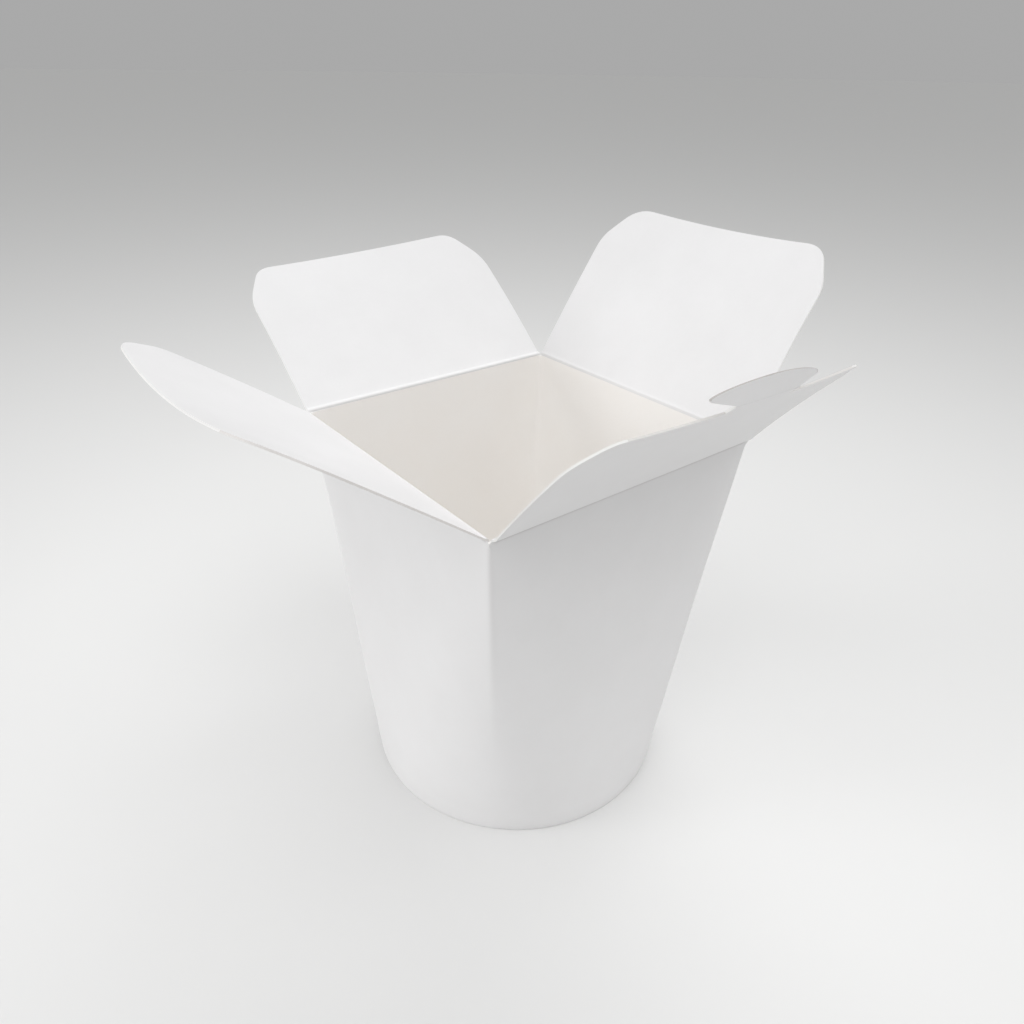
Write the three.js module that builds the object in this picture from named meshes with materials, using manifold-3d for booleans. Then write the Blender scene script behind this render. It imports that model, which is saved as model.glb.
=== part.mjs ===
// Round-base noodle takeaway box, opened: a paperboard cup that runs from a round base up to a
// square mouth, a base disc held in its hem, and four flaps hinged on the mouth creases. The
// flap on the front right side ends in a locking tongue. Millimetres, +Z up, hem on z = 0.
import * as THREE from "three";
import { mergeVertices } from "three/addons/utils/BufferGeometryUtils.js";
import Module from "manifold-3d";

// Where the cup's own axis stands: the whole opened box is centred on the origin.
const CUP_X = 5.65;
const CUP_Y = -7.0;

// Board, and the play left between layers that touch.
const BOARD = 0.45;
const PLAY = 0.3;

// Cup: round at the base, square at the mouth.
const BASE_RADIUS = 44.7;
const MOUTH_HALF = 42.5;
const CUP_HEIGHT = 107.4;
const CORNER_ONSET = 2.7; // power of the height at which the section's corners sharpen
const CUP_COLUMNS = 64;
const CUP_ROWS = 14;
const NOTCH_RADIUS = 0.8; // relief cut between neighbouring flaps at each mouth corner
const NOTCH_FACETS = 12;

// Base: the disc's skirt hangs in the hem that the wall turns up on the inside.
const HEM_HEIGHT = 6.5;
const FLOOR_HEIGHT = 7.5;
const FLOOR_BEND = 0.8; // radius at which the disc turns down into its skirt

// Flaps. Each starts FLAP_START off its hinge line, which runs along the wall's outer face, and
// the dust flaps lie one layer under the lock pair.
const FLAP_START = 0.9;
const FLAP_BASE_HALF = 41.3;
const LAYER_STEP = 0.3;
const ROUNDING_STEPS = 4;
const SIDE_STEPS = 5;
const OUTER_COLUMNS = 3; // on either side of the columns that run into the tongue
const NECK_COLUMNS = 4;

// Locking tongue: a neck at the middle of the lock flap's free edge, folded inwards, with a
// wing to either side under a domed top.
const NECK_HALF = 9.0;
const NECK_FOLD_REACH = 43.6; // from the crease to the neck's fold
const NECK_FOLD = THREE.MathUtils.degToRad(50);
const NECK_FOLD_RADIUS = 0.5;
const NECK_FOLD_STEPS = 3;
const WING_OVERHANG = 7.0;
const WING_TIP_HEIGHT = 2.2;
const TONGUE_HEIGHT = 4.3;
const TONGUE_DOME = 1.35; // power of the domed top, from flat at 0 to pointed at 2
const TONGUE_STEPS = 5;

// Each flap: the side of the mouth it's hinged on, in quarter turns from the front right side,
// its lean outwards from upright in degrees, its shift outwards off the hinge line, its
// shoulder and free edge as half width, reach from the crease and rounding, and how the board
// has bent, in shares of MOUTH_HALF: twist, corner curl, bow along the reach and uneven bow.
const DUST_FLAP = {
  shift: -LAYER_STEP,
  shoulder: { half: 40.9, reach: 42.8, round: 3.6 },
  edge: { half: 33.3, reach: 54.95, round: 5.6 },
};
const FLAPS = {
  flap_front_right_lock: {
    side: 0,
    lean: 38.98,
    shift: LAYER_STEP,
    shoulder: { half: 41.65, reach: 33.1, round: 3.7 },
    edge: { half: 36.5, reach: 40.85, round: 3.0 },
    bend: { twist: 0.0065, curl: -0.0327, bow: 0.0723, unevenBow: 0.0139 },
    hasTongue: true,
  },
  flap_rear_right_dust: {
    ...DUST_FLAP,
    side: 1,
    lean: 34.9,
    bend: { twist: 0.0408, curl: -0.0852, bow: 0.0639, unevenBow: -0.042 },
  },
  flap_rear_left: {
    side: 2,
    lean: 49.72,
    shift: LAYER_STEP,
    shoulder: { half: 40.9, reach: 40.8, round: 4.8 },
    edge: { half: 33.6, reach: 53.0, round: 4.0 },
    bend: { twist: 0.0459, curl: -0.0256, bow: 0.0656, unevenBow: 0.0089 },
  },
  flap_front_left_dust: {
    ...DUST_FLAP,
    side: 3,
    lean: 56.91,
    bend: { twist: -0.0086, curl: -0.0827, bow: 0.0097, unevenBow: -0.0059 },
  },
};

const wasm = await Module();
wasm.setup();

const UP = new THREE.Vector3(0, 0, 1);

// A point of the cup's horizontal section at a height, inset by a depth. The turn runs round
// the cup with whole numbers at the corners. Each quarter is a flat with an arc at either end;
// the arcs make a full circle at the base and vanish at the mouth.
function sectionPoint(height, turn, inset) {
  const rise = height / CUP_HEIGHT;
  const sweep = (Math.PI / 4) * (1 - rise ** CORNER_ONSET);
  const face = rise * MOUTH_HALF + (1 - rise) * BASE_RADIUS;
  const corner = rise * MOUTH_HALF + (1 - rise) * BASE_RADIUS * Math.SQRT1_2;
  const insetFace = face - inset;
  const insetCorner = corner - inset / (Math.sin(sweep) + Math.cos(sweep));
  const quarter = Math.floor(turn);
  const along = 2 * (turn - quarter) - 1;
  const point = new THREE.Vector3(along * insetCorner, -insetFace, height);
  if (sweep > 0) {
    const radius = (insetFace - insetCorner) / (1 - Math.cos(sweep));
    const flat = insetCorner - radius * Math.sin(sweep);
    const travel = Math.abs(along) * (flat + radius * sweep);
    const angle = Math.max(0, (travel - flat) / radius);
    point.x = Math.sign(along) * (Math.min(travel, flat) + radius * Math.sin(angle));
    point.y = radius * (1 - Math.cos(angle)) - insetFace;
  }
  return point.applyAxisAngle(UP, (quarter * Math.PI) / 2);
}

// A geometry from points and triangles given by their indices.
function geometryOf(points, triangles) {
  const geometry = new THREE.BufferGeometry().setFromPoints(points);
  geometry.setIndex(triangles);
  geometry.computeVertexNormals();
  return geometry;
}

// Rings of points round the cup, one for each { inset, z } of a profile, and the skin between
// each ring and the next.
function sweepRound(profile) {
  const points = profile.flatMap(({ inset, z }) =>
    Array.from({ length: CUP_COLUMNS }, (_, c) => sectionPoint(z, (4 * c) / CUP_COLUMNS, inset)),
  );
  const triangles = [];
  const skin = (ring, next) => {
    for (let c = 0; c < CUP_COLUMNS; c++) {
      const d = (c + 1) % CUP_COLUMNS;
      const [p, q] = [ring * CUP_COLUMNS + c, ring * CUP_COLUMNS + d];
      const [s, t] = [next * CUP_COLUMNS + c, next * CUP_COLUMNS + d];
      triangles.push(p, q, t, p, t, s);
    }
  };
  for (let r = 1; r < profile.length; r++) {
    skin(r - 1, r);
  }
  return { points, triangles, skin };
}

// The wall: up the outer face, down the inner face, and round the hem that is turned up inside
// it, closed on the hem's flat underside.
function wallGeometry() {
  const rows = Array.from({ length: CUP_ROWS + 1 }, (_, r) => r / CUP_ROWS);
  const hemInset = 2 * (BOARD + PLAY);
  const profile = [
    ...rows.map((k) => ({ inset: 0, z: k * CUP_HEIGHT })),
    ...rows.map((k) => ({ inset: BOARD, z: CUP_HEIGHT + k * (BOARD - CUP_HEIGHT) })),
    { inset: hemInset, z: BOARD },
    { inset: hemInset, z: HEM_HEIGHT },
    { inset: hemInset + BOARD, z: HEM_HEIGHT },
    { inset: hemInset + BOARD, z: 0 },
  ];
  const { points, triangles, skin } = sweepRound(profile);
  skin(profile.length - 1, 0);
  return geometryOf(points, triangles);
}

// The base disc: a floor with a bend into a skirt that hangs in the hem.
function baseDiscGeometry() {
  const skirtInset = BOARD + PLAY;
  const foot = BOARD + PLAY;
  const underside = FLOOR_HEIGHT - BOARD;
  const profile = [
    { inset: skirtInset + BOARD, z: underside },
    { inset: skirtInset + BOARD, z: foot },
    { inset: skirtInset, z: foot },
    { inset: skirtInset, z: FLOOR_HEIGHT - FLOOR_BEND },
    { inset: skirtInset + FLOOR_BEND, z: FLOOR_HEIGHT },
  ];
  const { points, triangles } = sweepRound(profile);
  const bottom = points.push(new THREE.Vector3(0, 0, underside)) - 1;
  const top = points.push(new THREE.Vector3(0, 0, FLOOR_HEIGHT)) - 1;
  const rim = (profile.length - 1) * CUP_COLUMNS;
  for (let c = 0; c < CUP_COLUMNS; c++) {
    const d = (c + 1) % CUP_COLUMNS;
    triangles.push(bottom, d, c, top, rim + c, rim + d);
  }
  return geometryOf(points, triangles);
}

// A board sheet from rows of places on its mid surface, each a point and the unit normal there,
// thickened by half the board to both sides. A place that is null is off the sheet.
function boardSheet(rows) {
  const columns = rows[0].length;
  const faces = [BOARD / 2, -BOARD / 2].flatMap((depth) =>
    rows.flatMap((row) =>
      row.map((place) =>
        place ? place.point.clone().addScaledVector(place.normal, depth) : new THREE.Vector3(),
      ),
    ),
  );
  const front = (r, c) => r * columns + c;
  const back = (r, c) => (rows.length + r) * columns + c;
  const isCell = (r, c) => Boolean(
    rows[r]?.[c] && rows[r]?.[c + 1] && rows[r + 1]?.[c] && rows[r + 1]?.[c + 1],
  );
  const triangles = [];
  const quad = (p, q, s, t) => triangles.push(p, q, s, p, s, t);
  for (let r = 0; r + 1 < rows.length; r++) {
    for (let c = 0; c + 1 < columns; c++) {
      if (!isCell(r, c)) continue;
      const [up, on] = [r + 1, c + 1];
      quad(front(r, c), front(r, on), front(up, on), front(up, c));
      quad(back(r, c), back(up, c), back(up, on), back(r, on));
      if (!isCell(r - 1, c)) quad(front(r, c), back(r, c), back(r, on), front(r, on));
      if (!isCell(up, c)) quad(front(up, c), front(up, on), back(up, on), back(up, c));
      if (!isCell(r, c - 1)) quad(front(r, c), front(up, c), back(up, c), back(r, c));
      if (!isCell(r, on)) quad(front(r, on), back(r, on), back(up, on), front(up, on));
    }
  }
  return geometryOf(faces, triangles);
}

// Half the outline of a flap's panel, from the crease to the free edge, with its two corners
// rounded, as a half width at each reach.
function panelOutline({ shoulder, edge }) {
  const start = { half: FLAP_BASE_HALF, reach: FLAP_START };
  const middle = { half: 0, reach: edge.reach };
  const mix = (a, b, k) => ({
    half: THREE.MathUtils.lerp(a.half, b.half, k),
    reach: THREE.MathUtils.lerp(a.reach, b.reach, k),
  });
  const onwards = (a, b, distance) =>
    mix(a, b, distance / Math.hypot(b.half - a.half, b.reach - a.reach));
  const rounded = (from, corner, to) => {
    const a = onwards(corner, from, corner.round);
    const b = onwards(corner, to, corner.round);
    return Array.from({ length: ROUNDING_STEPS + 1 }, (_, i) => {
      const k = i / ROUNDING_STEPS;
      return mix(mix(a, corner, k), mix(corner, b, k), k);
    });
  };
  const shoulderArc = rounded(start, shoulder, edge);
  const edgeArc = rounded(shoulder, edge, middle);
  const side = Array.from({ length: SIDE_STEPS }, (_, i) => mix(start, shoulderArc[0], i / SIDE_STEPS));
  return [...side, ...shoulderArc, ...edgeArc];
}

// The bent mid surface of a flap at a place along the crease and a reach from it: the point,
// the unit normal on the outer face's side and the direction onwards from the crease. The
// crease runs along x, with the cup's outside on -y.
function flapPlace({ lean, shift, bend }, along, reach) {
  const u = along / MOUTH_HALF;
  const v = reach / MOUTH_HALF;
  const { twist, curl, bow, unevenBow } = bend;
  const depth = v * (twist * u + curl * u * u + bow * v + unevenBow * u * v);
  const slopeAlong = v * (twist + 2 * curl * u + unevenBow * v);
  const slopeReach = twist * u + curl * u * u + 2 * bow * v + 2 * unevenBow * u * v;
  const angle = THREE.MathUtils.degToRad(lean);
  const crease = new THREE.Vector3(1, 0, 0);
  const onward = new THREE.Vector3(0, -Math.sin(angle), Math.cos(angle));
  const outward = new THREE.Vector3(0, -Math.cos(angle), -Math.sin(angle));
  const point = new THREE.Vector3(along, -MOUTH_HALF, CUP_HEIGHT)
    .addScaledVector(onward, reach)
    .addScaledVector(outward, shift + MOUTH_HALF * depth);
  const normal = outward
    .clone()
    .addScaledVector(crease, -slopeAlong)
    .addScaledVector(onward, -slopeReach)
    .normalize();
  return { point, normal, onward: onward.addScaledVector(outward, slopeReach).normalize() };
}

// The lock flap's neck and tongue beyond its panel, as { half, place } rows: the neck up to its
// fold, the fold's arc, the wings' undersides and the domed top.
function tongueRows(flap) {
  const setback = NECK_FOLD_RADIUS * Math.tan(NECK_FOLD / 2);
  const folded = (along, angle, height) => {
    const { point, normal, onward } = flapPlace(flap, along, NECK_FOLD_REACH);
    const heading = onward
      .clone()
      .multiplyScalar(Math.cos(angle))
      .addScaledVector(normal, -Math.sin(angle));
    const facing = normal
      .clone()
      .multiplyScalar(Math.cos(angle))
      .addScaledVector(onward, Math.sin(angle));
    const onArc = point
      .addScaledVector(onward, NECK_FOLD_RADIUS * Math.sin(angle) - setback)
      .addScaledVector(normal, NECK_FOLD_RADIUS * (Math.cos(angle) - 1));
    return { point: onArc.addScaledVector(heading, height), normal: facing };
  };
  const fold = Array.from({ length: NECK_FOLD_STEPS + 1 }, (_, i) => ({
    half: NECK_HALF,
    place: (along) => folded(along, (NECK_FOLD * i) / NECK_FOLD_STEPS, 0),
  }));
  const tongue = Array.from({ length: TONGUE_STEPS }, (_, i) => {
    const turn = (i / TONGUE_STEPS) * (Math.PI / 2);
    const dome = (TONGUE_HEIGHT - WING_TIP_HEIGHT) * Math.sin(turn) ** TONGUE_DOME;
    return {
      half: (NECK_HALF + WING_OVERHANG) * Math.cos(turn),
      place: (along) => folded(along, NECK_FOLD, WING_TIP_HEIGHT + dome - setback),
    };
  });
  return [...fold, ...tongue];
}

// A flap: its panel's rows and, on the lock flap, the tongue's rows on its middle columns.
function flapGeometry(flap) {
  const outline = panelOutline(flap);
  const neckShare = NECK_HALF / outline.at(-1).half;
  const outer = Array.from(
    { length: OUTER_COLUMNS },
    (_, i) => 1 - ((1 - neckShare) * i) / OUTER_COLUMNS,
  );
  const middle = Array.from({ length: NECK_COLUMNS + 1 }, (_, i) => (2 * i) / NECK_COLUMNS - 1);
  const shares = [
    ...outer.map((share) => -share),
    ...middle.map((share) => share * neckShare),
    ...outer.toReversed(),
  ];
  const rows = outline.map(({ half, reach }) =>
    shares.map((share) => flapPlace(flap, share * half, reach)),
  );
  if (flap.hasTongue) {
    const off = outer.map(() => null);
    for (const { half, place } of tongueRows(flap)) {
      rows.push([...off, ...middle.map((share) => place(share * half)), ...off]);
    }
  }
  return boardSheet(rows);
}

// A closed geometry as a manifold-3d solid.
function solidOf(geometry) {
  const bare = new THREE.BufferGeometry();
  bare.setAttribute("position", geometry.getAttribute("position"));
  bare.setIndex(geometry.getIndex());
  const merged = mergeVertices(bare);
  return new wasm.Manifold(
    new wasm.Mesh({
      numProp: 3,
      vertProperties: merged.getAttribute("position").array,
      triVerts: new Uint32Array(merged.getIndex().array),
    }),
  );
}

// A manifold-3d solid as a geometry.
function geometryFrom(solid) {
  const { numProp, numVert, vertProperties, triVerts } = solid.getMesh();
  const points = Array.from({ length: numVert }, (_, i) =>
    new THREE.Vector3().fromArray(vertProperties, i * numProp),
  );
  return geometryOf(points, [...triVerts]);
}

// Cuts the relief notches into the wall's top edge, one across each corner of the mouth.
function cutNotches(geometry) {
  let wall = solidOf(geometry);
  for (let corner = 0; corner < 4; corner++) {
    const cutter = new THREE.CylinderGeometry(NOTCH_RADIUS, NOTCH_RADIUS, 4 * NOTCH_RADIUS, NOTCH_FACETS);
    const { x, y } = sectionPoint(CUP_HEIGHT, corner, 0);
    cutter.rotateZ(Math.PI / 2 + Math.atan2(y, x));
    cutter.translate(x, y, CUP_HEIGHT);
    wall = wall.subtract(solidOf(cutter));
  }
  return geometryFrom(wall);
}

const cup = new THREE.Group();
cup.position.set(CUP_X, CUP_Y, 0);

const coatedBoard = new THREE.MeshStandardMaterial({ color: 0xf0efec, roughness: 0.55, metalness: 0 });
const innerBoard = new THREE.MeshStandardMaterial({ color: 0xe9e5de, roughness: 0.6, metalness: 0 });

const wall = new THREE.Mesh(cutNotches(wallGeometry()), coatedBoard);
wall.name = "wall";
cup.add(wall);

const baseDisc = new THREE.Mesh(baseDiscGeometry(), innerBoard);
baseDisc.name = "base_disc";
cup.add(baseDisc);

for (const [name, flap] of Object.entries(FLAPS)) {
  const mesh = new THREE.Mesh(flapGeometry(flap), coatedBoard);
  mesh.name = name;
  mesh.rotation.z = (flap.side * Math.PI) / 2;
  cup.add(mesh);
}

const group = new THREE.Group();
group.add(cup);

export default group;
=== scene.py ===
# Round-base noodle takeaway box in white paperboard, opened and empty. Metres, +Z up. The sides
# are numbered anticlockwise seen from above: 0 front right, 1 rear right, 2 rear left, 3 front left.
import math

import bpy
from mathutils import Matrix, Vector


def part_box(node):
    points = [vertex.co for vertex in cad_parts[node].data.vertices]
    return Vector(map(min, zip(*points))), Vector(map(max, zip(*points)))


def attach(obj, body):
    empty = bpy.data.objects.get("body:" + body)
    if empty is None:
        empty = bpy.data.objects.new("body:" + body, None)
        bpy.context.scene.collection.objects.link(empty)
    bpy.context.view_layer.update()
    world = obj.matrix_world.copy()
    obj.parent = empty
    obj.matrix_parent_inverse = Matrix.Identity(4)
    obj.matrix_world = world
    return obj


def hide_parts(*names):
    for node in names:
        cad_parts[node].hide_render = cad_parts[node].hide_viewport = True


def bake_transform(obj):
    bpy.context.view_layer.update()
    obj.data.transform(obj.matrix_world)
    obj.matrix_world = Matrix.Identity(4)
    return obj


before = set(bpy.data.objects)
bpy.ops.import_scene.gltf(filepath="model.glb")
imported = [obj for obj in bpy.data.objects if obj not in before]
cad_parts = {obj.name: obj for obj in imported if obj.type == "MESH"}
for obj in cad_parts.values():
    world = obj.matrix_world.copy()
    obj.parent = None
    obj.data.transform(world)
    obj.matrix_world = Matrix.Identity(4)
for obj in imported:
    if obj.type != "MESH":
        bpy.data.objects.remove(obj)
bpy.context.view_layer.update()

# The cup's wall. One blank of food board, white and clay coated outside, with a grease-proof
# coating inside. It is wrapped round a former: the foot stays round, four score lines sharpen
# into corners towards the square mouth, and the foot's edge is turned up inside as a hem.
wall_low, wall_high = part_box("wall")
cup_x = (wall_low.x + wall_high.x) / 2
cup_y = (wall_low.y + wall_high.y) / 2
cup_height = wall_high.z
board = 0.00045
layer_play = 0.0003
mouth_half = 0.0425
foot_radius = 0.0447
corner_onset = 2.7
corner_round = 0.0011
least_sweep = 1e-6
arris_angle = math.radians(38)
notch_radius = 0.0002
notch_rise = (0.5, 1)
knuckle = 0.0003
knuckle_width = 0.0005
knuckle_drops = (0.0016, 0.0002)
hem_height = 0.0065
hem_swell = 0.00012
hem_swell_end = (0.0058, 0.0078)
foot_round = 0.0003
foot_round_height = 0.0009
score_swell = 0.00012
score_swell_width = 0.0013
score_ridge = 0.00005
score_ridge_from_corner = 0.0004
score_ridge_width = 0.00014
score_start = (0.012, 0.05)
# Painted shade along each corner's score line on the outer face, stronger towards the mouth.
corner_shade = 0.1
corner_shade_width = 0.0009
corner_shade_rise = (0.3, 0.9)
# Painted shade: a dark line on the outer face at each crease, on the wall just under it and on the
# flap over the groove, strongest on sides 0 and 3, fading in from the crease's ends.
crease_line_shades = (0.45, 0.2, 0.2, 0.45)
shade_line_height = 0.00042
shade_line_ends = (0.0006, 0.0016)
seam_turn = 3.0
seam_step = 0.0003
seam_reach = 0.006
seam_edge = 0.0001
seam_start = (0.008, 0.02)


def smooth(low, high, value):
    """From 0 at the low value to 1 at the high one, without a kink."""
    share = min(1.0, max(0.0, (value - low) / (high - low)))
    return share * share * (3 - 2 * share)


def bell(offset, width):
    """A swelling across an offset: 1 in the middle, and falling away over the width."""
    return math.exp(-((offset / width) ** 2))


def cup_section(height, turn, inset):
    """A point of the cup's section and its way from the nearest corner. Whole turns are the
    corners, each the start of the side with its number, and the inset is inwards."""
    rise = height / cup_height
    sweep = math.pi / 4 * (1 - rise**corner_onset)
    face = rise * mouth_half + (1 - rise) * foot_radius - inset
    corner = rise * mouth_half + (1 - rise) * foot_radius * math.sqrt(0.5)
    corner -= inset / (math.sin(sweep) + math.cos(sweep))
    quarter = math.floor(turn)
    along = 2 * (turn - quarter) - 1
    x, y = along * corner, -face
    radius, flat, angle = 0.0, corner, 0.0
    if sweep > least_sweep:
        radius = (face - corner) / (1 - math.cos(sweep))
        flat = corner - radius * math.sin(sweep)
        travel = abs(along) * (flat + radius * sweep)
        angle = max(0.0, (travel - flat) / radius)
        x = math.copysign(min(travel, flat) + radius * math.sin(angle), along)
        y = radius * (1 - math.cos(angle)) - face
    from_corner = (1 - abs(along)) * (flat + radius * sweep)
    if from_corner < corner_round:
        pull = (corner_round - from_corner) ** 2 / (2 * corner_round)
        pull *= math.sin(math.pi / 4 - sweep)
        x -= math.copysign(pull * math.sqrt(0.5), along)
        y += pull * math.sqrt(0.5)
    point = Matrix.Rotation(quarter * math.pi / 2, 3, "Z") @ Vector((x, y, height))
    return point + Vector((cup_x, cup_y, 0)), from_corner


def board_colour(tree, warm, cool, grain):
    """Mottled board: cloudy coating over fine fibre, with painted shade, a dark grey mixed in where
    the shade attribute says.
    """
    nodes, links = tree.nodes, tree.links
    shader = nodes["Principled BSDF"]
    place = nodes.new("ShaderNodeTexCoord")
    clouds = nodes.new("ShaderNodeTexNoise")
    clouds.inputs["Scale"].default_value = 42
    clouds.inputs["Detail"].default_value = 5
    clouds.inputs["Roughness"].default_value = 0.6
    fibre = nodes.new("ShaderNodeTexNoise")
    fibre.inputs["Scale"].default_value = grain
    fibre.inputs["Detail"].default_value = 6
    fibre.inputs["Roughness"].default_value = 0.7
    fibre.inputs["Distortion"].default_value = 0.6
    links.new(place.outputs["Object"], clouds.inputs["Vector"])
    links.new(place.outputs["Object"], fibre.inputs["Vector"])
    both = nodes.new("ShaderNodeMath")
    both.operation = "MULTIPLY_ADD"
    both.inputs[1].default_value = 0.35
    links.new(fibre.outputs["Fac"], both.inputs[0])
    links.new(clouds.outputs["Fac"], both.inputs[2])
    tone = nodes.new("ShaderNodeValToRGB")
    tone.color_ramp.elements[0].position = 0.42
    tone.color_ramp.elements[0].color = (*warm, 1)
    tone.color_ramp.elements[1].position = 0.92
    tone.color_ramp.elements[1].color = (*cool, 1)
    links.new(both.outputs["Value"], tone.inputs["Fac"])
    # Painted shade: the attribute darkens the colour towards a dark grey along the creases, the corner
    # score lines and the tongue's outline.
    shade_mask = nodes.new("ShaderNodeAttribute")
    shade_mask.attribute_name = "painted_shade"
    shade_paint = nodes.new("ShaderNodeMix")
    shade_paint.data_type = "RGBA"
    shade_paint.inputs["B"].default_value = (0.36, 0.335, 0.32, 1)
    links.new(shade_mask.outputs["Fac"], shade_paint.inputs["Factor"])
    links.new(tone.outputs["Color"], shade_paint.inputs["A"])
    links.new(shade_paint.outputs["Result"], shader.inputs["Base Color"])
    gloss = nodes.new("ShaderNodeMapRange")
    gloss.inputs["From Min"].default_value = 0.3
    gloss.inputs["From Max"].default_value = 0.7
    gloss.inputs["To Min"].default_value = 0.5
    gloss.inputs["To Max"].default_value = 0.66
    links.new(clouds.outputs["Fac"], gloss.inputs["Value"])
    links.new(gloss.outputs["Result"], shader.inputs["Roughness"])
    relief = nodes.new("ShaderNodeBump")
    relief.inputs["Strength"].default_value = 0.35
    relief.inputs["Distance"].default_value = 0.00004
    links.new(fibre.outputs["Fac"], relief.inputs["Height"])
    links.new(relief.outputs["Normal"], shader.inputs["Normal"])
    return shader


coated_face = bpy.data.materials.new("coated_face")
coated_face.use_nodes = True
outside = board_colour(coated_face.node_tree, (0.846, 0.84, 0.841), (0.878, 0.873, 0.876), 1500)
outside.inputs["Specular IOR Level"].default_value = 0.35

# Painted light: the inside is brighter and warmer than the same board on the flaps, standing in for
# light that shines through the board and bounces round the cup.
greaseproof_lit_face = bpy.data.materials.new("greaseproof_lit_face")
greaseproof_lit_face.use_nodes = True
inside = board_colour(greaseproof_lit_face.node_tree, (0.955, 0.93, 0.9), (0.98, 0.965, 0.945), 1100)
inside.inputs["Specular IOR Level"].default_value = 0.4

cut_edge = bpy.data.materials.new("cut_edge")
cut_edge.use_nodes = True
edge_shader = board_colour(cut_edge.node_tree, (0.87, 0.86, 0.845), (0.95, 0.945, 0.935), 5200)
edge_shader.inputs["Specular IOR Level"].default_value = 0.2


def board_piece(name, points, faces, finishes, shade_values):
    """A mesh object from points and (corners, finish number) faces, smooth but for its arrises.
    The shade values, one a point, say how much painted shade darkens the board's colour there."""
    mesh = bpy.data.meshes.new(name)
    mesh.from_pydata([tuple(p) for p in points], [], [corners for corners, _ in faces])
    for finish in finishes:
        mesh.materials.append(finish)
    for polygon, (_, finish) in zip(mesh.polygons, faces):
        polygon.material_index = finish
        polygon.use_smooth = True
    shade_paint = mesh.attributes.new("painted_shade", "FLOAT", "POINT")
    shade_paint.data.foreach_set("value", shade_values)
    mesh.set_sharp_from_angle(angle=arris_angle)
    mesh.update()
    piece = bpy.data.objects.new(name, mesh)
    bpy.context.scene.collection.objects.link(piece)
    return piece


# Half a side in millimetres from its corner, in steps that are finest over the score line.
corner_steps = [0, 0.15, 0.28, 0.4, 0.52, 0.7, 0.95, 1.2, 1.5, 2.0, 2.8, 4, 5.5]
corner_steps += [7.5, 10, 12.5, 15, 18, 21, 24, 27, 31, 35, 39, 42.5]
half_side = [step / corner_steps[-1] / 2 for step in corner_steps]
wall_turns = []
for quarter in range(4):
    wall_turns += [quarter + share for share in half_side[:-1]]
    wall_turns += [quarter + 1 - share for share in reversed(half_side[1:])]

# Heights, finest over the hem and under the creases.
hem_rows = [0, 0.0002, 0.0006, 0.0015, 0.003, 0.0045, 0.0058, 0.0064, 0.007, 0.0078]
crease_drops = (0.0014, 0.0009, 0.0006, 0.0004, 0.0002, 0)
side_rows = 44
side_height = cup_height - hem_rows[-1]
wall_rows = hem_rows + [hem_rows[-1] + side_height * k / side_rows for k in range(1, side_rows)]
wall_rows += [cup_height - drop for drop in crease_drops]


def seam_sink(height, turn, from_corner):
    """How far the rear left side sits in where it runs under the front left side's free edge."""
    if from_corner <= seam_edge or not seam_turn - 0.5 < turn < seam_turn:
        return 0.0
    return seam_step * math.exp(-from_corner / seam_reach) * smooth(*seam_start, height)


def wall_place(height, turn, inset):
    """The wall's surface: the section with the notch and knuckle at each corner of the mouth, the
    rounded foot and the hem's swell outside, and the score's bead inside."""
    _, from_corner = cup_section(cup_height, turn, 0)
    dip = 0.0
    if from_corner < notch_radius:
        dip = math.sqrt(notch_radius**2 - from_corner**2)
    lowered = height - dip * smooth(*notch_rise, height / cup_height)
    sink = seam_sink(height, turn, from_corner) - hem_swell * (1 - smooth(*hem_swell_end, height))
    if inset < board / 2:
        knuckle_low, knuckle_high = (cup_height - drop for drop in knuckle_drops)
        sink -= knuckle * bell(from_corner, knuckle_width) * smooth(knuckle_low, knuckle_high, height)
        sink += foot_round * (1 - smooth(0, foot_round_height, height))
    else:
        bead = score_swell * bell(from_corner, score_swell_width)
        bead += score_ridge * bell(from_corner - score_ridge_from_corner, score_ridge_width)
        sink += bead * smooth(*score_start, height)
    point, _ = cup_section(lowered, turn, inset + sink)
    return point


def wall_shade(height, turn, inset):
    """How much painted shade darkens the outer face: a band along the corners' score lines and a line
    just under each crease.
    """
    if inset > 0:
        return 0.0
    _, from_corner = cup_section(cup_height, turn, 0)
    upright = corner_shade * bell(from_corner, corner_shade_width)
    upright *= smooth(*corner_shade_rise, height / cup_height)
    level = crease_line_shades[int(turn) % 4] * bell(cup_height - height, shade_line_height)
    return max(upright, level * smooth(*shade_line_ends, from_corner))


# The wall's profile, up outside, down inside from clear of the rounded foot, and round the hem:
# height, inset and finish, which is 0 coated, 1 grease-proof or 2 a cut edge.
hem_inset = 2 * (board + layer_play)
hem_foot = ((0.0006, 0.0), (0.0002, 0.0001), (0.0, foot_round))
wall_profile = [(z, 0.0, 0) for z in wall_rows]
wall_profile += [(z, board, 1) for z in reversed(wall_rows[2:])]
wall_profile += [(board, hem_inset, 1), (hem_height, hem_inset, 1), (hem_height, hem_inset + board, 2)]
wall_profile += [(z, hem_inset + board - rounding, 0) for z, rounding in hem_foot]
wall_points = [wall_place(z, turn, inset) for z, inset, _ in wall_profile for turn in wall_turns]
columns = len(wall_turns)
wall_faces = []
for r in range(len(wall_profile)):
    on = (r + 1) % len(wall_profile)
    finish = wall_profile[on][2]
    if r == len(wall_rows) - 1:
        finish = 2
    for c in range(columns):
        d = (c + 1) % columns
        ring = (r * columns + c, r * columns + d, on * columns + d, on * columns + c)
        at_seam = wall_turns[d] == seam_turn and r < len(wall_rows) - 1
        wall_faces.append((ring, 2 if at_seam else finish))
wall_shades = [wall_shade(z, turn, inset) for z, inset, _ in wall_profile for turn in wall_turns]
wall_finishes = (coated_face, greaseproof_lit_face, cut_edge)
wall = board_piece("wall_board", wall_points, wall_faces, wall_finishes, wall_shades)
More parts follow.
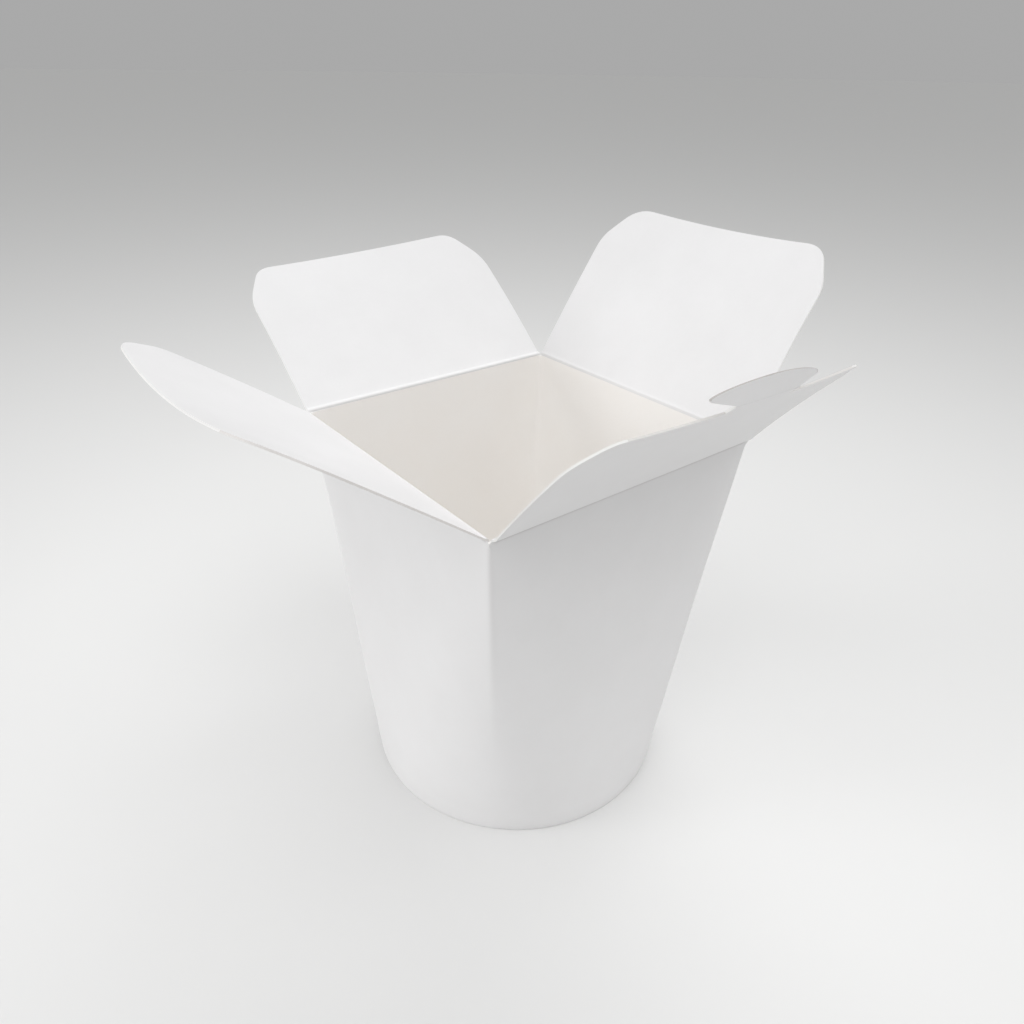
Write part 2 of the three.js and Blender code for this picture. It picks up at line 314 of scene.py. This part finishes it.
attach(wall, "cup")
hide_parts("wall")

# The side seam. A glue tab on the blank's other end is folded round the left corner, between
# sides 2 and 3, and heat sealed inside the front left side, from the floor to just under the mouth.
tab_width = 0.0125
tab_start = 0.0010
tab_foot = 0.0085
tab_head = 0.0035
tab_bevel = 0.0050
tab_bevel_power = 4
glue = 0.00005


def tab_place(share_up, share_across, depth):
    """A point of the tab; its free side is cut back at both ends."""
    bevel = tab_bevel * share_across**tab_bevel_power
    low = tab_foot + bevel
    high = cup_height - tab_head - bevel
    height = low + (high - low) * share_up
    along = tab_start + (tab_width - tab_start) * share_across
    turn = seam_turn + along / mouth_half / 2
    return cup_section(height, turn, board + glue + depth)[0]


tab_columns = [0, 0.08, 0.2, 0.35, 0.5, 0.62, 0.72, 0.8, 0.87, 0.93, 0.97, 1]
tab_steps = 48
tab_rows = [k / tab_steps for k in range(tab_steps + 1)]
tab_points = [tab_place(v, u, depth) for depth in (board, 0) for v in tab_rows for u in tab_columns]
tab_wide = len(tab_columns)
tab_layer = len(tab_rows) * tab_wide
tab_faces = []
for r in range(len(tab_rows) - 1):
    for c in range(tab_wide - 1):
        p, q = r * tab_wide + c, r * tab_wide + c + 1
        t, u = p + tab_wide, q + tab_wide
        tab_faces.append(((p, t, u, q), 0))
        tab_faces.append(((p + tab_layer, q + tab_layer, u + tab_layer, t + tab_layer), 0))
        if r == 0:
            tab_faces.append(((p, q, q + tab_layer, p + tab_layer), 1))
        if r == len(tab_rows) - 2:
            tab_faces.append(((t, t + tab_layer, u + tab_layer, u), 1))
        if c == 0:
            tab_faces.append(((p, p + tab_layer, t + tab_layer, t), 1))
        if c == tab_wide - 2:
            tab_faces.append(((q, u, u + tab_layer, q + tab_layer), 1))
tab_shades = [0.0] * len(tab_points)
tab = board_piece("seam_tab", tab_points, tab_faces, (greaseproof_lit_face, cut_edge), tab_shades)
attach(tab, "cup")

# The base disc. A round of the same board, pressed over the foot so that its skirt hangs down
# between the wall and the hem, where it is heat sealed. Its floor stands clear of the table.
floor_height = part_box("base_disc")[1].z
skirt_inset = board + layer_play
skirt_foot = board + layer_play
bend_radius = 0.0008
bend_steps = 6
disc_columns = 144
disc_ripple = 0.00005
disc_ripple_pace = 9
disc_profile = [(floor_height - board, skirt_inset + board), (skirt_foot, skirt_inset + board)]
disc_profile += [(skirt_foot, skirt_inset)]
for k in range(bend_steps + 1):
    bend = math.pi / 2 * k / bend_steps
    drop = bend_radius * (1 - math.sin(bend))
    disc_profile.append((floor_height - drop, skirt_inset + bend_radius * (1 - math.cos(bend))))
disc_turns = [4 * k / disc_columns for k in range(disc_columns)]
disc_points = [cup_section(z, turn, inset)[0] for z, inset in disc_profile for turn in disc_turns]
disc_faces = []
for r in range(len(disc_profile) - 1):
    low, high = r * disc_columns, (r + 1) * disc_columns
    for c in range(disc_columns):
        d = (c + 1) % disc_columns
        disc_faces.append(((low + c, low + d, high + d, high + c), 0))
ring_shares = (0.97, 0.85, 0.7, 0.5, 0.3, 0.12)
centre = Vector((cup_x, cup_y, 0))
disc_sides = ((floor_height, len(disc_profile) - 1, True), (floor_height - board, 0, False))
for level, first, faces_up in disc_sides:
    previous = first * disc_columns
    rim = disc_points[previous : previous + disc_columns]
    for share in ring_shares:
        start = len(disc_points)
        for point in rim:
            inner = centre.lerp(Vector((point.x, point.y, 0)), share)
            ripple = disc_ripple * math.sin(disc_ripple_pace * share)
            disc_points.append(Vector((inner.x, inner.y, level + ripple)))
        for c in range(disc_columns):
            d = (c + 1) % disc_columns
            ring = (previous + c, previous + d, start + d, start + c)
            disc_faces.append((ring if faces_up else ring[::-1], 0))
        previous = start
    hub = len(disc_points)
    disc_points.append(Vector((cup_x, cup_y, level)))
    for c in range(disc_columns):
        ring = (previous + c, previous + (c + 1) % disc_columns, hub)
        disc_faces.append((ring if faces_up else ring[::-1], 0))
disc_shades = [0.0] * len(disc_points)
disc = board_piece("base_board", disc_points, disc_faces, (greaseproof_lit_face,), disc_shades)
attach(disc, "cup")
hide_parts("base_disc")

# The knurl inside the hem. A toothed wheel rolls the hem against the disc's skirt while the
# board is hot, and leaves a ring of short upright ribs that can be seen from underneath.
rib_count = 132
rib_middle = 0.0033
rib_size = (0.00045, 0.00014, 0.0021)
rib_spread = 0.12
rib_seed = 7
rib_clear = 0.00006
rib_radius = foot_radius - hem_inset - board - rib_clear

knurl_tree = bpy.data.node_groups.new("knurl", "GeometryNodeTree")
knurl_face = knurl_tree.interface
for label, kind in (
    ("Count", "NodeSocketInt"),
    ("Radius", "NodeSocketFloat"),
    ("Centre", "NodeSocketVector"),
    ("Rib half size", "NodeSocketVector"),
    ("Spread", "NodeSocketFloat"),
    ("Seed", "NodeSocketInt"),
    ("Board", "NodeSocketMaterial"),
):
    knurl_face.new_socket(label, in_out="INPUT", socket_type=kind)
knurl_face.new_socket("Ribs", in_out="OUTPUT", socket_type="NodeSocketGeometry")
knurl_nodes, knurl_links = knurl_tree.nodes, knurl_tree.links
knurl_in = knurl_nodes.new("NodeGroupInput")
knurl_out = knurl_nodes.new("NodeGroupOutput")
knurl_ring = knurl_nodes.new("GeometryNodeMeshCircle")
knurl_links.new(knurl_in.outputs["Count"], knurl_ring.inputs["Vertices"])
knurl_links.new(knurl_in.outputs["Radius"], knurl_ring.inputs["Radius"])
knurl_rib = knurl_nodes.new("GeometryNodeMeshUVSphere")
knurl_rib.inputs["Segments"].default_value = 8
knurl_rib.inputs["Rings"].default_value = 6
knurl_rib.inputs["Radius"].default_value = 1
knurl_outwards = knurl_nodes.new("GeometryNodeInputPosition")
knurl_turn = knurl_nodes.new("FunctionNodeAlignRotationToVector")
knurl_turn.axis = "Y"
knurl_turn.pivot_axis = "Z"
knurl_links.new(knurl_outwards.outputs["Position"], knurl_turn.inputs["Vector"])
knurl_vary = knurl_nodes.new("FunctionNodeRandomValue")
knurl_vary.data_type = "FLOAT"
knurl_vary.inputs[2].default_value = 0
knurl_links.new(knurl_in.outputs["Spread"], knurl_vary.inputs[3])
knurl_links.new(knurl_in.outputs["Seed"], knurl_vary.inputs["Seed"])
knurl_less = knurl_nodes.new("ShaderNodeMath")
knurl_less.operation = "SUBTRACT"
knurl_less.inputs[0].default_value = 1
knurl_links.new(knurl_vary.outputs[1], knurl_less.inputs[1])
knurl_scale = knurl_nodes.new("ShaderNodeVectorMath")
knurl_scale.operation = "SCALE"
knurl_links.new(knurl_in.outputs["Rib half size"], knurl_scale.inputs[0])
knurl_links.new(knurl_less.outputs["Value"], knurl_scale.inputs["Scale"])
knurl_set = knurl_nodes.new("GeometryNodeInstanceOnPoints")
knurl_links.new(knurl_ring.outputs["Mesh"], knurl_set.inputs["Points"])
knurl_links.new(knurl_rib.outputs["Mesh"], knurl_set.inputs["Instance"])
knurl_links.new(knurl_turn.outputs["Rotation"], knurl_set.inputs["Rotation"])
knurl_links.new(knurl_scale.outputs["Vector"], knurl_set.inputs["Scale"])
knurl_move = knurl_nodes.new("GeometryNodeTransform")
knurl_links.new(knurl_set.outputs["Instances"], knurl_move.inputs["Geometry"])
knurl_links.new(knurl_in.outputs["Centre"], knurl_move.inputs["Translation"])
knurl_real = knurl_nodes.new("GeometryNodeRealizeInstances")
knurl_links.new(knurl_move.outputs["Geometry"], knurl_real.inputs["Geometry"])
knurl_finish = knurl_nodes.new("GeometryNodeSetMaterial")
knurl_links.new(knurl_real.outputs["Geometry"], knurl_finish.inputs["Geometry"])
knurl_links.new(knurl_in.outputs["Board"], knurl_finish.inputs["Material"])
knurl_links.new(knurl_finish.outputs["Geometry"], knurl_out.inputs["Ribs"])

knurl_values = {
    "Count": rib_count,
    "Radius": rib_radius,
    "Centre": (cup_x, cup_y, rib_middle),
    "Rib half size": rib_size,
    "Spread": rib_spread,
    "Seed": rib_seed,
    "Board": coated_face,
}
knurl_host = bpy.data.objects.new("knurl_host", bpy.data.meshes.new("knurl_host"))
bpy.context.scene.collection.objects.link(knurl_host)
knurl_modifier = knurl_host.modifiers.new("knurl", "NODES")
knurl_modifier.node_group = knurl_tree
for socket in knurl_face.items_tree:
    if socket.in_out == "INPUT":
        knurl_modifier[socket.identifier] = knurl_values[socket.name]
knurl_seen = knurl_host.evaluated_get(bpy.context.evaluated_depsgraph_get())
knurl_mesh = bpy.data.meshes.new_from_object(knurl_seen)
bpy.data.objects.remove(knurl_host)
knurl_mesh.shade_smooth()
knurl = bpy.data.objects.new("hem_knurl", knurl_mesh)
bpy.context.scene.collection.objects.link(knurl)
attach(knurl, "cup")

# The flaps. Each is part of the wall's blank, bent outwards along a scored crease; the board
# keeps a bead on its inner side there. They were cut with rounded shoulders and edges, and
# each has warped a little in its own way.
# Painted shade: the flaps' inner faces are the same grease-proof board as the cup's inside, given a
# darker, plain copy.
flap_shaded_face = bpy.data.materials.new("flap_shaded_face")
flap_shaded_face.use_nodes = True
flap_inside = board_colour(flap_shaded_face.node_tree, (0.772, 0.768, 0.772), (0.811, 0.808, 0.813), 1300)
flap_inside.inputs["Specular IOR Level"].default_value = 0.35

# Painted shade: a darker cut edge for the edges that face away from the light, the lock flap's free
# end with its tongue and the front left flap's side.
bare_core = bpy.data.materials.new("bare_core")
bare_core.use_nodes = True
shaded_edge_shader = board_colour(bare_core.node_tree, (0.74, 0.72, 0.7), (0.84, 0.82, 0.8), 5200)
shaded_edge_shader.inputs["Specular IOR Level"].default_value = 0.15

flap_base_half = 0.0419
crease_reach = 0.0016
crease_tension = 0.4
crease_steps = [0, 0.1, 0.2, 0.27, 0.32, 0.36, 0.4, 0.44, 0.48, 0.53, 0.6, 0.7, 0.8, 0.9]
crease_end = 0.0016
bead_size = 0.00007
bead_step = 0.42
bead_width = 0.16
groove_depth = 0.0003
groove_step = 0.4
groove_width = 0.09
groove_shade = 0.62
shade_line_width = 0.25
shade_step = 0.1
shade_width = 0.12
side_stops = 24
slope_stops = 5
arc_stops = 8
outer_columns = 16
dust_shoulder = (0.0409, 0.0428, 0.0036)
dust_edge = (0.0333, 0.05495, 0.0056)

# Lean is in degrees outwards from upright and shift is off the hinge line. Shoulder and edge are
# corners of the cut outline: half width, reach and rounding. Bend is twist, curl, bow and uneven
# bow, as shares of half the mouth. The last entry names the cut edge, if any, that is painted darker
# as shade.
flaps = {
    "front_right_lock": {
        "node": "flap_front_right_lock",
        "body": "front_right_lock_flap",
        "side": 0,
        "crease_shade": 0.1,
        "lean": 38.98,
        "shift": 0.0003,
        "shoulder": (0.04165, 0.0331, 0.0037),
        "edge": (0.0365, 0.04085, 0.0030),
        "bend": (0.0065, -0.0327, 0.0723, 0.0139),
        "bare": "end",
    },
    "rear_right_dust": {
        "node": "flap_rear_right_dust",
        "body": "rear_right_dust_flap",
        "side": 1,
        "crease_shade": 0.0,
        "lean": 34.9,
        "shift": -0.0003,
        "shoulder": dust_shoulder,
        "edge": dust_edge,
        "bend": (0.0408, -0.0852, 0.0639, -0.0420),
        "bare": "",
    },
    "rear_left": {
        "node": "flap_rear_left",
        "body": "rear_left_flap",
        "side": 2,
        "crease_shade": 0.3,
        "lean": 49.72,
        "shift": 0.0003,
        "shoulder": (0.0409, 0.0408, 0.0048),
        "edge": (0.0336, 0.0530, 0.0040),
        "bend": (0.0459, -0.0256, 0.0656, 0.0089),
        "bare": "",
    },
    "front_left_dust": {
        "node": "flap_front_left_dust",
        "body": "front_left_dust_flap",
        "side": 3,
        "crease_shade": 0.1,
        "lean": 56.91,
        "shift": -0.0003,
        "shoulder": dust_shoulder,
        "edge": dust_edge,
        "bend": (-0.0086, -0.0827, 0.0097, -0.0059),
        "bare": "high",
    },
}


def flap_place(flap, along, reach):
    """The warped flap's middle layer: a point, its outward normal and the way on from the crease."""
    twist, curl, bow, uneven = flap["bend"]
    u, v = along / mouth_half, reach / mouth_half
    depth = v * (twist * u + curl * u * u + bow * v + uneven * u * v)
    slope_along = v * (twist + 2 * curl * u + uneven * v)
    slope_reach = twist * u + curl * u * u + 2 * bow * v + 2 * uneven * u * v
    turn = Matrix.Rotation(flap["side"] * math.pi / 2, 3, "Z")
    lean = math.radians(flap["lean"])
    crease = turn @ Vector((1, 0, 0))
    onward = turn @ Vector((0, -math.sin(lean), math.cos(lean)))
    outward = turn @ Vector((0, -math.cos(lean), -math.sin(lean)))
    hinge = turn @ Vector((along, -mouth_half, cup_height)) + Vector((cup_x, cup_y, 0))
    point = hinge + onward * reach + outward * (flap["shift"] + mouth_half * depth)
    normal = (outward - crease * slope_along - onward * slope_reach).normalized()
    return point, normal, (onward + outward * slope_reach).normalized()


def crease_place(flap, along, share):
    """The middle layer through the crease, from the wall's top at 0 to the flap at 1."""
    turn = Matrix.Rotation(flap["side"] * math.pi / 2, 3, "Z")
    crease = turn @ Vector((1, 0, 0))
    root = turn @ Vector((along, board / 2 - mouth_half, cup_height)) + Vector((cup_x, cup_y, 0))
    end, _, onward = flap_place(flap, along, crease_reach)
    handle = (end - root).length * crease_tension
    first, second = root + Vector((0, 0, handle)), end - onward * handle
    k, m = share, 1 - share
    point = root * m**3 + first * 3 * m * m * k + second * 3 * m * k * k + end * k**3
    heading = (first - root) * m * m + (second - first) * 2 * m * k + (end - second) * k * k
    return point, crease.cross(heading).normalized()


def flap_outline(flap):
    """Half widths and reaches of the flap's cut outline, from the crease to the free edge."""
    start = Vector((flap_base_half, crease_reach))
    shoulder, edge = Vector(flap["shoulder"][:2]), Vector(flap["edge"][:2])
    middle = Vector((0, edge.y))

    def rounded(before, corner, after, radius):
        a = corner + (before - corner).normalized() * radius
        b = corner + (after - corner).normalized() * radius
        arc = []
        for k in range(arc_stops + 1):
            share = k / arc_stops
            arc.append(a.lerp(corner, share).lerp(corner.lerp(b, share), share))
        return arc

    shoulder_arc = rounded(start, shoulder, edge, flap["shoulder"][2])
    edge_arc = rounded(shoulder, edge, middle, flap["edge"][2])
    side = [start.lerp(shoulder_arc[0], k / side_stops) for k in range(side_stops)]
    slope = [shoulder_arc[-1].lerp(edge_arc[0], k / slope_stops) for k in range(1, slope_stops)]
    return side + shoulder_arc + slope + edge_arc


# Stands in where a sheet has no board, so that points keep their numbers until the unused go.
off_sheet = (Vector((0, 0, 0)), Vector((0, 0, 1)), 0, 0, 0, 0)


def sheet_faces(rows, bare):
    """Points, faces and painted shade values of a board sheet from rows of places, None where it has
    no board.
    A place is a point, its normal, the depths to both faces and the painted shade on both faces. The
    finishes are 0 outside, 1 inside, 2 a cut edge, and 3 a cut edge painted darker as shade, which the
    last argument names: the free end or the side with the high shares."""
    wide = len(rows[0])
    points, shade_values = [], []
    for side in (1, -1):
        for row in rows:
            for place in row:
                point, normal, outer, inner, outer_shade, inner_shade = place or off_sheet
                points.append(point + normal * (outer if side > 0 else -inner))
                shade_values.append(outer_shade if side > 0 else inner_shade)
    depth = len(rows) * wide

    def cell(r, c):
        if not (0 <= r < len(rows) - 1 and 0 <= c < wide - 1):
            return False
        return all(rows[i][j] is not None for i in (r, r + 1) for j in (c, c + 1))

    faces = []
    for r in range(len(rows) - 1):
        for c in range(wide - 1):
            if not cell(r, c):
                continue
            p, q, s, t = r * wide + c, r * wide + c + 1, (r + 1) * wide + c + 1, (r + 1) * wide + c
            faces.append(((p, q, s, t), 0))
            faces.append(((p + depth, t + depth, s + depth, q + depth), 1))
            if not cell(r - 1, c):
                faces.append(((p, p + depth, q + depth, q), 2))
            if not cell(r + 1, c):
                faces.append(((t, s, s + depth, t + depth), 3 if bare == "end" else 2))
            if not cell(r, c - 1):
                faces.append(((p, t, t + depth, p + depth), 2))
            if not cell(r, c + 1):
                faces.append(((q, q + depth, s + depth, s), 3 if bare == "high" else 2))
    used = sorted({corner for corners, _ in faces for corner in corners})
    number = {old: new for new, old in enumerate(used)}
    sheet = [(tuple(number[i] for i in corners), finish) for corners, finish in faces]
    return [points[i] for i in used], sheet, [shade_values[i] for i in used]


# The locking tongue is cut in one with the lock flap: a narrow neck, a pressed fold, and a
# mushroom head whose wings catch under the board that it is pushed through.
neck_ends = (-0.0090, 0.0103)
neck_fold_reach = 0.0436
neck_fold = math.radians(50)
neck_fold_radius = 0.00026
wing_tips = (-0.0163, 0.0157)
wing_tip_heights = (0.0022, 0.0016)
wing_tip_blunt = 0.0005
tongue_height = 0.0043
tongue_dome = 1.35
fold_rows = 8
wing_rows = 4
dome_rows = 12
dome_quarter = 12.7
# Painted shade along the outline of the tongue's head: its edge rows are darkened as shade.
rim_shade = 0.85
rim_share = 0.985
half_columns = 8
tongue_shares = [k / half_columns for k in range(1 - half_columns, half_columns)]
tongue_shares = [-1, -rim_share] + tongue_shares + [rim_share, 1]


def tongue_place(flap, along, angle, height, rim=0.0):
    """A place of the folded tongue: how far round the fold, then how high beyond it."""
    point, normal, onward = flap_place(flap, along, neck_fold_reach)
    setback = neck_fold_radius * math.tan(neck_fold / 2)
    heading = onward * math.cos(angle) - normal * math.sin(angle)
    facing = normal * math.cos(angle) + onward * math.sin(angle)
    point = point + onward * (neck_fold_radius * math.sin(angle) - setback)
    point = point + normal * neck_fold_radius * (math.cos(angle) - 1)
    return point + heading * height, facing, board / 2, board / 2, rim, rim


def across(pair, share):
    """A place between the ends of a pair about the middle, for a share from -1 to 1."""
    return pair[1] * share if share > 0 else -pair[0] * share


def tongue_rows(flap, shares):
    """Rows of places round the neck's fold, out to the wing tips and over the domed head. The
    quarter turn is a little longer than the dome's rows, so that the last one has some width."""
    setback = neck_fold_radius * math.tan(neck_fold / 2)
    low, high = wing_tip_heights
    tips = [low + (high - low) * (s + 1) / 2 for s in shares]
    rows = []
    for k in range(fold_rows + 1):
        angle = neck_fold * k / fold_rows
        rows.append([tongue_place(flap, across(neck_ends, s), angle, 0) for s in shares])
    for k in range(1, wing_rows + 1):
        ends = [neck + (tip - neck) * k / wing_rows for neck, tip in zip(neck_ends, wing_tips)]
        row = []
        for s, tip in zip(shares, tips):
            row.append(tongue_place(flap, across(ends, s), neck_fold, (tip - setback) * k / wing_rows))
        rows.append(row)
    for k in range(dome_rows + 1):
        turn = math.pi / 2 * k / dome_quarter
        row = []
        for s, tip in zip(shares, tips):
            along = across(wing_tips, s) * math.cos(turn)
            foot = tip + wing_tip_blunt
            height = foot + (tongue_height - foot) * math.sin(turn) ** tongue_dome - setback
            rim = rim_shade if k == dome_rows or abs(s) == 1 else 0.0
            row.append(tongue_place(flap, along, neck_fold, height, rim))
        rows.append(row)
    return rows


for name, flap in flaps.items():
    outline = flap_outline(flap)
    neck_low, neck_high = (end / outline[-1].x for end in neck_ends)
    shares = [(neck_low + 1) * k / outer_columns - 1 for k in range(outer_columns)]
    shares += [across((neck_low, neck_high), share) for share in tongue_shares]
    shares += [1 - (1 - neck_high) * k / outer_columns for k in reversed(range(outer_columns))]
    rows = []
    for step in crease_steps:
        # Painted shade at the crease: on the outer face a dark line over the groove and down to the
        # wall's top, and on the inner face the crease shade, a dark line low in the crease.
        pinch = bell(step - groove_step, groove_width)
        line_shade = max(crease_line_shades[flap["side"]] * bell(step, shade_line_width), groove_shade * pinch)
        shade = flap["crease_shade"] * bell(step - shade_step, shade_width)
        inner_depth = board / 2 + bead_size * bell(step - bead_step, bead_width)
        row = []
        for share in shares:
            point, normal = crease_place(flap, share * flap_base_half, step)
            end_fade = smooth(0, crease_end, flap_base_half * (1 - abs(share)))
            outer_depth = board / 2 - groove_depth * pinch * end_fade
            row.append((point, normal, outer_depth, inner_depth, line_shade * end_fade, shade * end_fade))
        rows.append(row)
    for stop in outline:
        places = [flap_place(flap, share * stop.x, stop.y) for share in shares]
        rows.append([(point, normal, board / 2, board / 2, 0, 0) for point, normal, _ in places])
    if name == "front_right_lock":
        off = [None] * outer_columns
        rows += [off + row + off for row in tongue_rows(flap, tongue_shares)]
    points, faces, shade_values = sheet_faces(rows, flap["bare"])
    finishes = (coated_face, flap_shaded_face, cut_edge, bare_core)
    piece = board_piece(name + "_board", points, faces, finishes, shade_values)
    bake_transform(piece)
    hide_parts(flap["node"])

# The floor that the box stands on: one wide, matt, pale disc. Its tone falls off away from the
# box, to half way where the square of the distance is the half tone's value.
floor_reach = 12
floor_sides = 64
floor_half_tone = 0.25
floor_angles = [math.tau * k / floor_sides for k in range(floor_sides)]
floor_rim = [(floor_reach * math.cos(a), floor_reach * math.sin(a), 0) for a in floor_angles]
floor_mesh = bpy.data.meshes.new("floor")
floor_mesh.from_pydata(floor_rim, [], [tuple(range(floor_sides))])
floor = bpy.data.objects.new("floor", floor_mesh)
bpy.context.scene.collection.objects.link(floor)
floor_finish = bpy.data.materials.new("pale_floor")
floor_finish.use_nodes = True
floor_nodes, floor_links = floor_finish.node_tree.nodes, floor_finish.node_tree.links
floor_place = floor_nodes.new("ShaderNodeTexCoord")
floor_radius = floor_nodes.new("ShaderNodeVectorMath")
floor_radius.operation = "LENGTH"
floor_links.new(floor_place.outputs["Object"], floor_radius.inputs[0])
floor_spread = floor_nodes.new("ShaderNodeMath")
floor_spread.operation = "MULTIPLY_ADD"
floor_spread.inputs[2].default_value = floor_half_tone
floor_links.new(floor_radius.outputs["Value"], floor_spread.inputs[0])
floor_links.new(floor_radius.outputs["Value"], floor_spread.inputs[1])
# Painted light: the floor is lighter near the box and darker far off, a painted fall-off of light that
# lets it meet the grey surround without a line.
floor_fade = floor_nodes.new("ShaderNodeMath")
floor_fade.operation = "DIVIDE"
floor_fade.inputs[0].default_value = floor_half_tone
floor_links.new(floor_spread.outputs["Value"], floor_fade.inputs[1])
floor_tone = floor_nodes.new("ShaderNodeValToRGB")
floor_tone.color_ramp.elements[0].color = (0.34, 0.34, 0.338, 1)
floor_tone.color_ramp.elements[1].color = (0.77, 0.77, 0.766, 1)
floor_links.new(floor_fade.outputs["Value"], floor_tone.inputs["Fac"])
floor_shader = floor_nodes["Principled BSDF"]
floor_links.new(floor_tone.outputs["Color"], floor_shader.inputs["Base Color"])
floor_shader.inputs["Roughness"].default_value = 0.9
floor_shader.inputs["Specular IOR Level"].default_value = 0.0
floor_mesh.materials.append(floor_finish)

# Soft studio light: an even pale surround and broad, distant lamps. The key stands high on the
# left, with one overhead, one behind, and fill from the right rear and from low on the left.
world = bpy.data.worlds.new("studio")
bpy.context.scene.world = world
bpy.context.scene.view_settings.view_transform = "Standard"
world.use_nodes = True
world.node_tree.nodes["Background"].inputs["Color"].default_value = (1, 1, 1, 1)
world.node_tree.nodes["Background"].inputs["Strength"].default_value = 0.4
for label, bearing, rise, breadth, power in (
    ("key", 180, 50, 50, 0.71),
    ("above", 270, 65, 50, 0.97),
    ("behind", 45, 45, 50, 0.87),
    ("side", 354, 54, 50, 0.37),
    ("low", 150, 12, 20, 0.66),
):
    lamp = bpy.data.lights.new(label, "SUN")
    lamp.angle = math.radians(breadth)
    lamp.energy = power
    lit = bpy.data.objects.new(label, lamp)
    lit.rotation_euler = (0, math.radians(90 - rise), math.radians(bearing))
    bpy.context.scene.collection.objects.link(lit)

# The camera, a little above the mouth and close to the box. Its place is given in halves of the
# mouth, to its own right, up and back, and its focal length in widths of the render.
camera_across = -0.0267693
camera_up = 1.5923547
camera_back = 6.2481171
camera_lift = 0.0024
focal_widths = 788.290259 / 1024
film_width = 36
yaw = math.radians(38.5965)
pitch = math.radians(29.9925)
roll = math.radians(0.8503)
forward = Vector((math.sin(yaw) * math.cos(pitch), math.cos(yaw) * math.cos(pitch), -math.sin(pitch)))
level = Vector((math.cos(yaw), -math.sin(yaw), 0))
upright = level.cross(forward)
right = level * math.cos(roll) + upright * math.sin(roll)
up = upright * math.cos(roll) - level * math.sin(roll)
stand = right * camera_across + up * camera_up - forward * camera_back
stand = stand * mouth_half + Vector((cup_x, cup_y, camera_lift))
camera_data = bpy.data.cameras.new("camera")
camera_data.sensor_width = film_width
camera_data.lens = focal_widths * film_width
camera_data.clip_start = 0.01
camera = bpy.data.objects.new("camera", camera_data)
turned = Matrix((right, up, -forward)).transposed().to_4x4()
camera.matrix_world = Matrix.Translation(stand) @ turned
bpy.context.scene.collection.objects.link(camera)
bpy.context.scene.camera = camera
